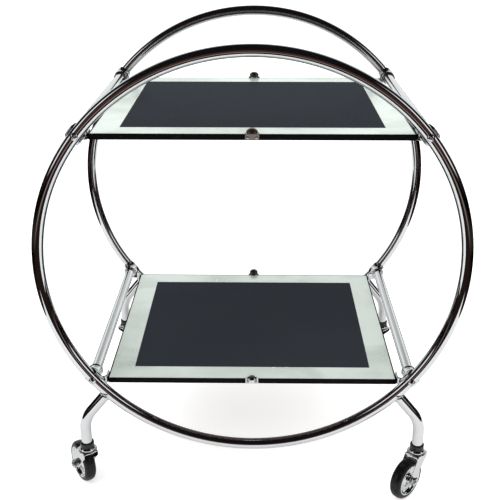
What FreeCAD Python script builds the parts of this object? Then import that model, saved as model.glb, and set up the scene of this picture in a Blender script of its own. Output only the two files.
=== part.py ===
import FreeCAD, Part
import math
import os

# A round bar cart: two tube hoops stand one behind the other, four cross tubes join them, two framed glass
# shelves hang between them, and four bent legs stand on swivel casters.
# Millimetres. The origin is on the floor under the middle of the cart: +X right, +Y to the back, +Z up.

# Clearances
weld_gap = 0.15             # between two round tubes that are welded or brazed together
seat_gap = 0.1              # radial, between a piece and the seat it is pressed or screwed into
running_gap = 0.05          # radial, between a shaft and what turns on it
turning_gap = 0.5           # along the axis, beside what turns
glass_gap = 0.5             # around a panel in its frame
panel_gap = 0.1             # between the mirror border and the centre panel

# Hoops
hoop_radius = 340.0         # to the middle of the tube
hoop_tube_radius = 9.5
hoop_wall = 1.5
hoop_spacing = 450.0        # between the planes of the two hoops
hoop_floor_gap = 84.5       # from the floor to the lowest point of a hoop

# Cross tubes, saddles and their bolts
cross_tube_radius = 9.0
cross_tube_wall = 1.5
upper_tube_rise = 215.3     # above the hoops' centre
lower_tube_drop = 207.9     # below the hoops' centre
saddle_wall = 3.0           # the half sleeve that hugs the hoop
saddle_length = 30.0        # along the hoop
saddle_flare = 14.0         # radius of the flared end
saddle_reach = 28.0         # from the hoop's plane to the end of the collar
saddle_flare_share = 0.6    # how much of the collar's length is flared
collar_wall = 1.8
tube_setback = 13.0         # from the hoop's plane to the end of a cross tube
bolt_radius = 3.0
bolt_hole_gap = 0.3
bolt_head_radius = 6.0
bolt_head_rise = 3.6
bolt_head_seat = 0.5        # how far the head's skirt reaches past the tube it is fitted to
bolt_slot = 1.4
bolt_slot_depth = 1.5
plug_length = 32.0
plug_bore_spare = 2.0       # thread left beyond the bolt's tip
bolt_engagement = 22.0      # length of bolt inside its plug

# Shelves
upper_shelf_drop = 2.0      # from the upper cross tubes' axis to the glass
lower_shelf_drop = 9.5      # from the lower cross tubes' axis to the glass
shelf_side_gap = 6.6        # from an upper cross tube to the shelf beside it
shelf_end_gap = 6.5         # from a hoop to the shelf behind it
angle_wall = 1.5            # the shelf frame is rolled from L-shaped angle
angle_ledge = 12.0
frame_corner = 2.0
board_thickness = 3.0
glass_thickness = 5.0
side_border = 39.5          # width of the mirror border at the left and right
end_border = 36.5           # width of the mirror border at the front and back

# Corner brackets between the shelves and the saddles
bracket_thickness = 3.0
bracket_height = 14.0
bracket_pad = 13.0
bracket_bend = 5.0
rivet_radius = 2.0
rivet_head_radius = 3.6
rivet_head_rise = 1.8
rivet_head_skirt = 0.4

# Glass clips at the middle of the front and back edges
clip_width = 22.0
clip_thickness = 1.5
clip_tab_radius = 9.0
clip_tab_over_glass = 7.0
clip_lip = 9.0              # how far the clip's top stands out from the frame
pad_thickness = 1.0
pad_inset = 1.0             # how far the rubber stays back from the clip's edge
knob_radius = 9.0
knob_height = 8.0
knob_bevel = 1.5
knob_skirt = 1.0
knob_stand_off = 4.5        # from the frame's face out to the knob's axis
knob_stud_radius = 2.0
peen_spread = 0.7           # how far the peened end stands out beyond the stud
peen_thickness = 0.8
clip_screw_radius = 1.5
clip_screw_head = 3.0
clip_screw_skirt = 0.3
clip_screw_rise = 1.0
clip_screw_side = 7.0       # from the clip's middle to each screw

# Legs
leg_tube_radius = 9.5
leg_wall = 1.5
leg_angle = 43.7            # where a leg meets its hoop, in degrees below the hoop's centre
leg_splay = 44.2            # from there out to the foot
leg_shank = 56.0            # from the knee down to the end of the tube
leg_bend_radius = 40.0

# Casters
wheel_radius = 37.5
tyre_width = 21.5
tyre_depth = 9.5
tread_corner = 4.0
tyre_bead = 2.0             # depth of the slanted edge beside the rim
hub_width = 18.0
hub_boss_radius = 9.0
hub_boss_length = 24.0
hub_lip = 3.5               # the hub's rolled rim, and the slope inside it
hub_web_share = 0.45        # half width of the web at its outer edge, as a share of the rim's
hub_cone_share = 0.6        # half width of the web at the boss, as a share of the boss's
bush_radius = 6.0
axle_radius = 4.0
nut_across_flats = 13.0
axle_head_height = 5.0
axle_nut_height = 6.0
axle_spare = 1.0            # how far the thread stands out of the nut
hexagon_chamfer = 1.2
caster_trail = 27.0         # from the swivel axis to the axle
fork_wall = 2.0
fork_corner = 3.5
fork_side_gap = 1.0         # between the hub's boss and a fork side
crown_thickness = 2.5
crown_radius = 16.5
crown_over_wheel = 3.0
fork_end_radius = 8.5
ball_radius = 1.6
ball_count = 12
race_radius = 9.5
cup_radius = 14.0
cup_height = 5.0
stem_radius = 5.0
stem_head_radius = 8.0
stem_head_height = 1.8
socket_radius = 12.0
socket_floor = 2.0
socket_lip = 8.0
socket_sleeve = 32.0
stem_in_socket = 27.0
small_chamfer = 1.0
# Which way each caster trails from its swivel axis at rest, in degrees from +X towards +Y
caster_heading = {"front_left": 125.0, "front_right": 226.0, "rear_left": 46.0, "rear_right": 134.0}

# Worked out from the sizes above
hoop_height = hoop_floor_gap + hoop_tube_radius + hoop_radius
hoop_y = hoop_spacing / 2
upper_tube_z = hoop_height + upper_tube_rise
lower_tube_z = hoop_height - lower_tube_drop
upper_tube_x = math.sqrt(hoop_radius ** 2 - upper_tube_rise ** 2)
lower_tube_x = math.sqrt(hoop_radius ** 2 - lower_tube_drop ** 2)
tube_joints = {"upper_left": (-upper_tube_x, upper_tube_z), "upper_right": (upper_tube_x, upper_tube_z),
               "lower_left": (-lower_tube_x, lower_tube_z), "lower_right": (lower_tube_x, lower_tube_z)}
collar_radius = cross_tube_radius + seat_gap + collar_wall
shelf_x = upper_tube_x - cross_tube_radius - shelf_side_gap
shelf_y = hoop_y - hoop_tube_radius - shelf_end_gap
shelf_tops = {"upper": upper_tube_z - upper_shelf_drop, "lower": lower_tube_z - lower_shelf_drop}
frame_height = angle_wall + board_thickness + glass_thickness
glass_x = shelf_x - angle_wall - glass_gap
glass_y = shelf_y - angle_wall - glass_gap
fork_half = hub_boss_length / 2 + fork_side_gap
crown_bottom = 2 * wheel_radius + crown_over_wheel
crown_top = crown_bottom + crown_thickness
cup_bottom = crown_top + turning_gap
socket_bottom = cup_bottom + cup_height
leg_foot = socket_bottom + socket_floor
weld_x = hoop_radius * math.cos(math.radians(leg_angle))
weld_z = hoop_height - hoop_radius * math.sin(math.radians(leg_angle))
leg_x = weld_x + leg_splay
caster_places = {"front_left": (-leg_x, -hoop_y), "front_right": (leg_x, -hoop_y),
                 "rear_left": (-leg_x, hoop_y), "rear_right": (leg_x, hoop_y)}

X = FreeCAD.Vector(1, 0, 0)
Y = FreeCAD.Vector(0, 1, 0)
Z = FreeCAD.Vector(0, 0, 1)
ORIGIN = FreeCAD.Vector(0, 0, 0)


# Helpers

def box(low, high):
    """A block between two corners."""
    size = [b - a for a, b in zip(low, high)]
    return Part.makeBox(size[0], size[1], size[2], FreeCAD.Vector(*low))


def rounded_block(half_x, half_y, low_z, high_z, corner):
    """A block centred on the Z axis, with its four upright edges rounded."""
    block = box((-half_x, -half_y, low_z), (half_x, half_y, high_z))
    upright = [edge for edge in block.Edges if abs(edge.tangentAt(edge.FirstParameter).z) > 0.9]
    return block.makeFillet(corner, upright)


def cylinder(start, end, radius):
    """A solid rod between two points."""
    run = end - start
    return Part.makeCylinder(radius, run.Length, start, run)


def turned(outline):
    """A solid turned about Z from a list of (radius, height) points; a point of four numbers is an arc,
    given by a point on the way and then its end."""
    edges = []
    here = FreeCAD.Vector(outline[0][0], 0, outline[0][1])
    for step in outline[1:] + outline[:1]:
        there = FreeCAD.Vector(step[-2], 0, step[-1])
        if len(step) == 4:
            way = FreeCAD.Vector(step[0], 0, step[1])
            edges.append(Part.Arc(here, way, there).toShape())
        else:
            edges.append(Part.LineSegment(here, there).toShape())
        here = there
    return Part.Face(Part.Wire(edges)).revolve(ORIGIN, Z, 360)


def dome(radius, skirt, rise):
    """A round head: a short cylinder under a spherical cap, standing on the XY plane."""
    ball = (radius ** 2 + rise ** 2) / (2 * rise)
    half_way = math.asin(radius / ball) / 2
    way_r = ball * math.sin(half_way)
    way_z = skirt + rise - ball + ball * math.cos(half_way)
    return turned([(0, 0), (radius, 0), (radius, skirt), (way_r, way_z, 0, skirt + rise)])


def aimed(shape, base, direction):
    """A copy of a shape made along +Z, moved so that it stands on base and points along direction."""
    copy = shape.copy()
    copy.Placement = FreeCAD.Placement(base, FreeCAD.Rotation(Z, direction)).multiply(shape.Placement)
    return copy


def half_turn(shape):
    """A copy turned by 180 degrees about Z, which swaps front and back, and left and right."""
    copy = shape.copy()
    copy.rotate(ORIGIN, Z, 180)
    return copy


def front_and_back(shapes):
    """The shapes at the front of the cart, with the same ones at the back."""
    return shapes + [half_turn(shape) for shape in shapes]


def save(name, shapes):
    """Write one node, which holds one or more separate solids."""
    shape = shapes[0] if len(shapes) == 1 else Part.makeCompound(shapes)
    shape.exportStep("parts/" + name + ".step")


# Hoops and cross tubes

def hoop_bar(radius):
    """The front hoop's ring, of the given section radius."""
    return Part.makeTorus(hoop_radius, radius, FreeCAD.Vector(0, -hoop_y, hoop_height), Y)


def joint_line(x, z, near, far):
    """Two points on the line of a cross tube, near and far millimetres behind the front hoop's plane."""
    return FreeCAD.Vector(x, near - hoop_y, z), FreeCAD.Vector(x, far - hoop_y, z)


def hoop():
    """The front hoop: a hollow ring, cross-drilled where the bolts pass."""
    ring = hoop_bar(hoop_tube_radius).cut(hoop_bar(hoop_tube_radius - hoop_wall))
    for x, z in tube_joints.values():
        start, end = joint_line(x, z, -2 * hoop_tube_radius, 2 * hoop_tube_radius)
        ring = ring.cut(cylinder(start, end, bolt_radius + bolt_hole_gap))
    return ring


def cross_tube(x, z):
    """A hollow tube between the two saddles on its line."""
    start, end = joint_line(x, z, tube_setback, hoop_spacing - tube_setback)
    bore = cylinder(start, end, cross_tube_radius - cross_tube_wall)
    return cylinder(start, end, cross_tube_radius).cut(bore)


def half_sleeve(x, z):
    """The part of a saddle that hugs the rear half of the front hoop's tube."""
    centre = FreeCAD.Vector(0, -hoop_y, hoop_height)
    inner = hoop_tube_radius + weld_gap
    outer = hoop_tube_radius + saddle_wall

    def at(radius, angle):
        return centre + X * (hoop_radius + radius * math.cos(angle)) + Y * (radius * math.sin(angle))

    rim = [Part.Arc(at(outer, 0), at(outer, math.pi / 2), at(outer, math.pi)).toShape(),
           Part.LineSegment(at(outer, math.pi), at(inner, math.pi)).toShape(),
           Part.Arc(at(inner, math.pi), at(inner, math.pi / 2), at(inner, 0)).toShape(),
           Part.LineSegment(at(inner, 0), at(outer, 0)).toShape()]
    section = Part.Face(Part.Wire(rim))
    spread = math.degrees(saddle_length / hoop_radius)
    angle = math.degrees(math.atan2(z - hoop_height, x))
    section.rotate(centre, -Y, angle - spread / 2)
    return section.revolve(centre, -Y, spread)


def flared_collar(x, z):
    """The part of a saddle that spreads from a cross tube onto the hoop, solid inside."""
    flare_start = hoop_tube_radius / 2
    start, end = joint_line(x, z, flare_start, saddle_reach)
    flare_length = (saddle_reach - flare_start) * saddle_flare_share
    cone = Part.makeCone(saddle_flare, collar_radius, flare_length, start, Y)
    return cone.fuse(cylinder(start, end, collar_radius))


def saddle(x, z):
    """A saddle: half sleeve and collar in one, bored for its cross tube and its bolt."""
    body = half_sleeve(x, z).fuse(flared_collar(x, z))
    body = body.cut(hoop_bar(hoop_tube_radius + weld_gap))
    tube_start, tube_end = joint_line(x, z, tube_setback - seat_gap, saddle_reach + 1)
    body = body.cut(cylinder(tube_start, tube_end, cross_tube_radius + seat_gap))
    hole_start, hole_end = joint_line(x, z, 0, tube_setback)
    return body.cut(cylinder(hole_start, hole_end, bolt_radius + bolt_hole_gap)).removeSplitter()


def threaded_plug(x, z):
    """The steel plug that is fixed in the end of a cross tube and takes the bolt."""
    start, end = joint_line(x, z, tube_setback, tube_setback + plug_length)
    body = cylinder(start, end, cross_tube_radius - cross_tube_wall - seat_gap)
    bore_end = joint_line(x, z, 0, tube_setback + bolt_engagement + plug_bore_spare)[1]
    return body.cut(cylinder(start, bore_end, bolt_radius + running_gap))


def hoop_bolt(x, z):
    """A slotted domed bolt through the hoop and the saddle into its plug, its head fitted to the tube."""
    shank_start, shank_end = joint_line(x, z, -hoop_tube_radius, tube_setback + bolt_engagement)
    skirt = hoop_tube_radius - math.sqrt(hoop_tube_radius ** 2 - bolt_head_radius ** 2) + bolt_head_seat
    head_base = joint_line(x, z, -hoop_tube_radius + skirt, 0)[0]
    head = aimed(dome(bolt_head_radius, skirt, bolt_head_rise), head_base, -Y)
    head = head.cut(hoop_bar(hoop_tube_radius + running_gap))
    top = -hoop_y - hoop_tube_radius - bolt_head_rise
    slot = box((x - bolt_head_radius, top - 1, z - bolt_slot / 2),
               (x + bolt_head_radius, top + bolt_slot_depth, z + bolt_slot / 2))
    return head.cut(slot).fuse(cylinder(shank_start, shank_end, bolt_radius))


# Shelves

def shelf_frame(top):
    """A tray frame of L-shaped angle: an upright rim around a ledge."""
    bottom = top - frame_height
    outside = rounded_block(shelf_x, shelf_y, bottom, top, frame_corner)
    pocket = box((angle_wall - shelf_x, angle_wall - shelf_y, bottom + angle_wall),
                 (shelf_x - angle_wall, shelf_y - angle_wall, top + 1))
    window = box((angle_ledge - shelf_x, angle_ledge - shelf_y, bottom - 1),
                 (shelf_x - angle_ledge, shelf_y - angle_ledge, top + 1))
    frame = outside.cut(pocket).cut(window)
    for hole in [rivet_hole(side, end, top) for side in (-1, 1) for end in (-1, 1)]:
        frame = frame.cut(hole)
    for hole in front_and_back([clip_screw_hole(side, top) for side in (-1, 1)]):
        frame = frame.cut(hole)
    return frame


def backing_board(top):
    """The board that lies on the ledge and carries the glass."""
    low = top - glass_thickness - board_thickness
    return box((-glass_x, -glass_y, low), (glass_x, glass_y, top - glass_thickness))


def mirror_border(top):
    """The silvered border, flush with the frame's rim."""
    sheet = box((-glass_x, -glass_y, top - glass_thickness), (glass_x, glass_y, top))
    inner_x = glass_x - side_border + panel_gap
    inner_y = glass_y - end_border + panel_gap
    return sheet.cut(box((-inner_x, -inner_y, top - 2 * glass_thickness), (inner_x, inner_y, top + 1)))


def centre_panel(top):
    """The dark centre panel, flush inside the border."""
    half_x = glass_x - side_border
    half_y = glass_y - end_border
    return box((-half_x, -half_y, top - glass_thickness), (half_x, half_y, top))


# Corner brackets

def rivet_place(side, end, top):
    """Where a bracket's rivet enters the shelf frame's side wall."""
    along = shelf_y - bracket_bend - bracket_pad / 2
    return FreeCAD.Vector(side * shelf_x, end * along, top - frame_height / 2)


def rivet_hole(side, end, top):
    """The hole for a bracket's rivet, through the bracket's pad and the frame's wall."""
    middle = rivet_place(side, end, top)
    return cylinder(middle - X * (side * 2 * angle_wall), middle + X * (side * 2 * bracket_thickness),
                    rivet_radius + seat_gap)


def bracket(side, x, z, top):
    """A front corner bracket: a pad along the shelf's side that bends out to the saddle on its joint."""
    low = top - frame_height
    face = side * shelf_x
    bend_y = -shelf_y + bracket_bend
    pad = box((0, bend_y, low), (bracket_thickness, bend_y + bracket_pad, low + bracket_height))
    middle = FreeCAD.Vector(bracket_thickness + bracket_bend, bend_y, low)
    outer = Part.makeCylinder(bracket_thickness + bracket_bend, bracket_height, middle)
    ring = outer.cut(Part.makeCylinder(bracket_bend, bracket_height, middle))
    arm_y = bend_y - bracket_bend - bracket_thickness
    ring = ring.common(box((0, arm_y, low), (middle.x, bend_y, low + bracket_height)))
    arm = box((middle.x, arm_y, low), (abs(x) - shelf_x, arm_y + bracket_thickness, low + bracket_height))
    strip = pad.fuse(ring).fuse(arm).removeSplitter()
    if side < 0:
        strip.rotate(ORIGIN, Y, 180)
        strip.translate(Z * (2 * low + bracket_height))
    strip.translate(X * face)
    strip = strip.cut(flared_collar_envelope(x, z)).cut(rivet_hole(side, -1, top))
    return strip.cut(hoop_bar(hoop_tube_radius + saddle_wall + weld_gap))


def flared_collar_envelope(x, z):
    """The flared collar with the weld's gap around it, and closed towards the hoop."""
    start, end = joint_line(x, z, 0, saddle_reach + weld_gap)
    flare_start = hoop_tube_radius / 2
    flare_length = (saddle_reach - flare_start) * saddle_flare_share
    cone_base = joint_line(x, z, flare_start, saddle_reach)[0]
    cone = Part.makeCone(saddle_flare + weld_gap, collar_radius + weld_gap, flare_length, cone_base, Y)
    return cone.fuse(cylinder(start, end, collar_radius + weld_gap))


def bracket_rivet(side, end, top):
    """A domed rivet through a bracket's pad and the frame's wall, flush inside."""
    middle = rivet_place(side, end, top)
    out = X * side
    outside = middle + out * bracket_thickness
    shank = cylinder(middle - out * angle_wall, outside + out * rivet_head_skirt, rivet_radius)
    head = aimed(dome(rivet_head_radius, rivet_head_skirt, rivet_head_rise), outside, out)
    return shank.fuse(head)


# Glass clips, for the front edge of a shelf

def clip_screw_hole(side, top):
    """The hole for a clip's screw, through the clip's leg and the frame's wall."""
    middle = FreeCAD.Vector(side * clip_screw_side, -shelf_y, top - frame_height / 2)
    return cylinder(middle - Y * (2 * clip_thickness), middle + Y * (2 * angle_wall),
                    clip_screw_radius + seat_gap)


def clip_outline(low, high, grow):
    """The plan of a clip's top between two heights: a half-round tab over the glass, square outside."""
    tab_y = clip_tab_over_glass - clip_tab_radius - shelf_y
    lip_y = -shelf_y - clip_lip
    tab = Part.makeCylinder(clip_tab_radius + grow, high - low, FreeCAD.Vector(0, tab_y, low))
    tab = tab.fuse(box((-clip_tab_radius - grow, lip_y, low), (clip_tab_radius + grow, tab_y, high)))
    return tab.common(box((-clip_width, lip_y, low), (clip_width, 0, high)))


def glass_clip(top):
    """A bent clip: a leg on the frame's outer face, and a top that holds the glass and carries the knob."""
    under = top + pad_thickness
    leg = box((-clip_width / 2, -shelf_y - clip_thickness, top - frame_height),
              (clip_width / 2, -shelf_y, under))
    clip = leg.fuse(clip_outline(under, under + clip_thickness, 0)).removeSplitter()
    for side in (-1, 1):
        clip = clip.cut(clip_screw_hole(side, top))
    stud_y = -shelf_y - knob_stand_off
    stud_start = FreeCAD.Vector(0, stud_y, top)
    stud_hole = cylinder(stud_start, stud_start + Z * (pad_thickness + 2 * clip_thickness),
                         knob_stud_radius + seat_gap)
    return clip.cut(stud_hole)


def glass_pad(top):
    """The rubber pad between a clip and the glass."""
    pad = clip_outline(top, top + pad_thickness, -pad_inset)
    over_glass = box((-clip_width, -shelf_y + running_gap, top), (clip_width, 0, top + pad_thickness))
    return pad.common(over_glass)


def clip_knob(top):
    """A domed knob on the clip, with a stud that is peened over below it."""
    middle = FreeCAD.Vector(0, -shelf_y - knob_stand_off, top + pad_thickness + clip_thickness)
    base = Part.makeCone(knob_radius - knob_bevel, knob_radius, knob_bevel)
    cap = dome(knob_radius, knob_skirt, knob_height - knob_bevel - knob_skirt)
    cap.translate(Z * knob_bevel)
    peen_top = -clip_thickness - seat_gap
    peen_bottom = peen_top - peen_thickness
    stud = turned([(0, peen_bottom), (knob_stud_radius, peen_bottom),
                   (knob_stud_radius + peen_spread, peen_top), (knob_stud_radius, peen_top),
                   (knob_stud_radius, knob_bevel), (0, knob_bevel)])
    knob = base.fuse(cap).fuse(stud)
    knob.translate(middle)
    return knob


def clip_screw(side, top):
    """A small domed screw through a clip's leg into the frame's wall."""
    face = FreeCAD.Vector(side * clip_screw_side, -shelf_y - clip_thickness, top - frame_height / 2)
    shank = cylinder(face - Y * clip_screw_skirt, face + Y * (clip_thickness + angle_wall),
                     clip_screw_radius)
    return shank.fuse(aimed(dome(clip_screw_head, clip_screw_skirt, clip_screw_rise), face, -Y))


# Legs

def leg(side):
    """A front leg: a tube from the hoop down and out to a knee, then straight down."""
    weld = FreeCAD.Vector(side * weld_x, -hoop_y, weld_z)
    knee = FreeCAD.Vector(side * leg_x, -hoop_y, leg_foot + leg_shank)
    foot = FreeCAD.Vector(side * leg_x, -hoop_y, leg_foot)
    slope = (knee - weld).normalize()
    turn = slope.getAngle(-Z)
    tangent = leg_bend_radius * math.tan(turn / 2)
    bend_start = knee - slope * tangent
    bend_end = knee - Z * tangent
    centre = bend_end - X * (side * leg_bend_radius)
    middle = centre + (knee - centre).normalize() * leg_bend_radius
    path = Part.Wire([Part.LineSegment(weld, bend_start).toShape(),
                      Part.Arc(bend_start, middle, bend_end).toShape(),
                      Part.LineSegment(bend_end, foot).toShape()])

    def sweep(radius):
        return path.makePipeShell([Part.Wire(Part.makeCircle(radius, weld, slope))], True, False)

    tube = sweep(leg_tube_radius).cut(sweep(leg_tube_radius - leg_wall))
    return tube.cut(hoop_bar(hoop_tube_radius + weld_gap))


# Casters, made with the swivel axis on Z, the wheel trailing along +X and the axle along Y

def leg_socket():
    """The black socket: a sleeve inside the leg's tube, and a cup around its end."""
    outside = leg_tube_radius + seat_gap
    inside = leg_tube_radius - leg_wall - seat_gap
    bore = stem_radius + seat_gap
    chamfer = small_chamfer
    return turned([(bore, socket_bottom), (socket_radius - chamfer, socket_bottom),
                   (socket_radius, socket_bottom + chamfer),
                   (socket_radius, leg_foot + socket_lip - chamfer),
                   (socket_radius - chamfer, leg_foot + socket_lip),
                   (outside, leg_foot + socket_lip), (outside, leg_foot), (inside, leg_foot),
                   (inside, leg_foot + socket_sleeve - chamfer),
                   (inside - chamfer, leg_foot + socket_sleeve), (bore, leg_foot + socket_sleeve)])


def stem():
    """The swivel pin: a head under the fork's crown, and a shank up into the socket."""
    head_top = crown_bottom - turning_gap / 2
    tip = leg_foot + stem_in_socket
    head_bottom = head_top - stem_head_height
    chamfer = small_chamfer
    return turned([(0, head_bottom), (stem_head_radius - chamfer, head_bottom),
                   (stem_head_radius, head_bottom + chamfer), (stem_head_radius, head_top),
                   (stem_radius, head_top), (stem_radius, tip - chamfer),
                   (stem_radius - chamfer, tip), (0, tip)])


def race_groove(clearance):
    """The ring-shaped groove that the bearing balls run in."""
    return Part.makeTorus(race_radius, ball_radius + clearance, FreeCAD.Vector(0, 0, ball_height()), Z)


def ball_height():
    """The height of the bearing balls' centres, half in the crown and half in the cup."""
    return crown_top + turning_gap / 2


def swivel_cup():
    """The upper half of the swivel bearing, fixed on the stem."""
    ring = turned([(stem_radius + seat_gap, cup_bottom), (cup_radius, cup_bottom),
                   (cup_radius, socket_bottom - small_chamfer), (cup_radius - small_chamfer, socket_bottom),
                   (stem_radius + seat_gap, socket_bottom)])
    return ring.cut(race_groove(seat_gap))


def bearing_balls():
    """The ring of balls of one swivel bearing."""
    balls = []
    for number in range(ball_count):
        angle = 2 * math.pi * number / ball_count
        place = FreeCAD.Vector(race_radius * math.cos(angle), race_radius * math.sin(angle), ball_height())
        balls.append(Part.makeSphere(ball_radius, place))
    return balls


def arch(half_width, top, corner):
    """A long block along X with its two upper edges rounded, for the fork's channel."""
    length = 4 * caster_trail
    start = -2 * caster_trail
    low = wheel_radius - 2 * fork_end_radius

    def at(y, z):
        return FreeCAD.Vector(start, y, z)

    slant = corner * (1 - math.sqrt(0.5))
    edges = [Part.LineSegment(at(-half_width, low), at(-half_width, top - corner)).toShape(),
             Part.Arc(at(-half_width, top - corner), at(slant - half_width, top - slant),
                      at(corner - half_width, top)).toShape(),
             Part.LineSegment(at(corner - half_width, top), at(half_width - corner, top)).toShape(),
             Part.Arc(at(half_width - corner, top), at(half_width - slant, top - slant),
                      at(half_width, top - corner)).toShape(),
             Part.LineSegment(at(half_width, top - corner), at(half_width, low)).toShape(),
             Part.LineSegment(at(half_width, low), at(-half_width, low)).toShape()]
    return Part.Face(Part.Wire(edges)).extrude(X * length)


def tangent_angle(corner, centre, radius, side):
    """The angle, seen from centre, of the point where a line from corner touches the circle."""
    reach_x = corner[0] - centre[0]
    reach_z = corner[1] - centre[1]
    return math.atan2(reach_z, reach_x) + side * math.acos(radius / math.hypot(reach_x, reach_z))


def fork_blade():
    """The fork's side view, as a slab across its whole width: wide at the crown, round at the axle."""
    half = fork_half + fork_wall
    front = crown_radius - 2
    shoulder = crown_bottom - 3 * crown_thickness
    centre = (caster_trail, wheel_radius)
    front_corner = (-front, shoulder)
    back_corner = (front + 2, shoulder + crown_thickness)

    def at(x, z):
        return FreeCAD.Vector(x, -half, z)

    def rim(angle):
        return at(centre[0] + fork_end_radius * math.cos(angle),
                  centre[1] + fork_end_radius * math.sin(angle))

    first = tangent_angle(front_corner, centre, fork_end_radius, 1)
    last = tangent_angle(back_corner, centre, fork_end_radius, -1)
    lowest = (first + last + 2 * math.pi) / 2
    edges = [Part.LineSegment(at(front, crown_top), at(-front, crown_top)).toShape(),
             Part.LineSegment(at(-front, crown_top), at(*front_corner)).toShape(),
             Part.LineSegment(at(*front_corner), rim(first)).toShape(),
             Part.Arc(rim(first), rim(lowest), rim(last)).toShape(),
             Part.LineSegment(rim(last), at(*back_corner)).toShape(),
             Part.LineSegment(at(*back_corner), at(front, crown_top)).toShape()]
    return Part.Face(Part.Wire(edges)).extrude(Y * (2 * half))


def fork():
    """The pressed fork: a channel cut to the blade's side view, under a round crown plate."""
    outside = arch(fork_half + fork_wall, crown_top, fork_corner)
    inside = arch(fork_half, crown_bottom, fork_corner - fork_wall)
    body = outside.cut(inside).common(fork_blade())
    plate = Part.makeCylinder(crown_radius, crown_thickness, FreeCAD.Vector(0, 0, crown_bottom))
    body = body.fuse(plate).removeSplitter()
    body = body.cut(race_groove(turning_gap / 2))
    body = body.cut(Part.makeCylinder(stem_radius + running_gap, 4 * crown_thickness,
                                      FreeCAD.Vector(0, 0, crown_bottom - crown_thickness)))
    ends = 2 * fork_half
    return body.cut(cylinder(FreeCAD.Vector(caster_trail, -ends, wheel_radius),
                             FreeCAD.Vector(caster_trail, ends, wheel_radius), axle_radius + seat_gap))


def hexagon(height, base_y, direction):
    """A hexagonal head or nut on the axle, standing out from base_y."""
    radius = nut_across_flats / math.sqrt(3)
    angles = [math.pi / 3 * number for number in range(7)]
    corners = [FreeCAD.Vector(radius * math.cos(angle), radius * math.sin(angle), 0) for angle in angles]
    prism = Part.Face(Part.makePolygon(corners)).extrude(Z * height)
    bevel = turned([(0, 0), (radius, 0), (radius, height - hexagon_chamfer),
                    (radius - 2 * hexagon_chamfer, height), (0, height)])
    return aimed(prism.common(bevel), FreeCAD.Vector(caster_trail, base_y, wheel_radius), direction)


def axle_bolt():
    """The axle: a hexagon-headed bolt through the fork."""
    outside = fork_half + fork_wall
    thread_end = outside + axle_nut_height + axle_spare
    shank = cylinder(FreeCAD.Vector(caster_trail, -outside, wheel_radius),
                     FreeCAD.Vector(caster_trail, thread_end, wheel_radius), axle_radius)
    return hexagon(axle_head_height, -outside, -Y).fuse(shank)


def axle_nut():
    """The nut on the far end of the axle."""
    outside = fork_half + fork_wall
    nut = hexagon(axle_nut_height, outside, Y)
    bore = cylinder(FreeCAD.Vector(caster_trail, 0, wheel_radius),
                    FreeCAD.Vector(caster_trail, 3 * outside, wheel_radius), axle_radius + running_gap)
    return nut.cut(bore)


def on_axle(shape):
    """A wheel piece that was turned about Z, laid on the axle."""
    return aimed(shape, FreeCAD.Vector(caster_trail, 0, wheel_radius), Y)


def tyre():
    """The tyre: a rubber ring with a rounded tread."""
    inner = wheel_radius - tyre_depth + seat_gap
    half = tyre_width / 2
    flat = half - tread_corner
    shoulder = wheel_radius - tread_corner
    slant = tread_corner * math.sqrt(0.5)
    return on_axle(turned([(inner, -hub_width / 2), (inner + tyre_bead, -half), (shoulder, -half),
                           (shoulder + slant, -flat - slant, wheel_radius, -flat), (wheel_radius, flat),
                           (shoulder + slant, flat + slant, shoulder, half), (inner + tyre_bead, half),
                           (inner, hub_width / 2)]))


def hub():
    """The hub: a rim and a dished web around the boss that holds the bush."""
    rim = wheel_radius - tyre_depth
    half = hub_width / 2
    boss = hub_boss_length / 2
    bore = bush_radius + seat_gap
    side = [(bore, boss), (hub_boss_radius, boss), (hub_boss_radius + small_chamfer, boss * hub_cone_share),
            (rim - 2 * hub_lip, half * hub_web_share), (rim - hub_lip, half), (rim, half)]
    return on_axle(turned([(r, -z) for r, z in side] + side[::-1]))


def bush():
    """The nylon bush that turns on the axle."""
    half = hub_boss_length / 2 + fork_side_gap / 2
    inner = axle_radius + running_gap
    return on_axle(turned([(inner, -half), (bush_radius, -half), (bush_radius, half), (inner, half)]))


def at_caster(name, shapes):
    """Copies of caster pieces, turned to the caster's heading and set under its leg."""
    x, y = caster_places[name]
    placement = FreeCAD.Placement(FreeCAD.Vector(x, y, 0), FreeCAD.Rotation(Z, caster_heading[name]))
    placed = []
    for shape in shapes:
        copy = shape.copy()
        copy.Placement = placement.multiply(shape.Placement)
        placed.append(copy)
    return placed


def at_every_caster(shapes):
    """Copies of the same pieces at all four casters."""
    return [copy for name in caster_places for copy in at_caster(name, shapes)]


# Build

os.makedirs("parts", exist_ok=True)

front_hoop = hoop()
save("front_hoop", [front_hoop])
save("rear_hoop", [half_turn(front_hoop)])
for name, (x, z) in tube_joints.items():
    save(name + "_cross_tube", [cross_tube(x, z)])
save("saddles", front_and_back([saddle(x, z) for x, z in tube_joints.values()]))
save("threaded_plugs", front_and_back([threaded_plug(x, z) for x, z in tube_joints.values()]))
save("hoop_bolts", front_and_back([hoop_bolt(x, z) for x, z in tube_joints.values()]))

front_brackets = []
rivets = []
for level, top in shelf_tops.items():
    save(level + "_shelf_frame", [shelf_frame(top)])
    save(level + "_backing_board", [backing_board(top)])
    save(level + "_mirror_border", [mirror_border(top)])
    save(level + "_centre_panel", [centre_panel(top)])
    for side, side_name in ((-1, "left"), (1, "right")):
        x, z = tube_joints[level + "_" + side_name]
        front_brackets.append(bracket(side, x, z, top))
        rivets += [bracket_rivet(side, end, top) for end in (-1, 1)]
save("shelf_brackets", front_and_back(front_brackets))
save("bracket_rivets", rivets)

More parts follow.
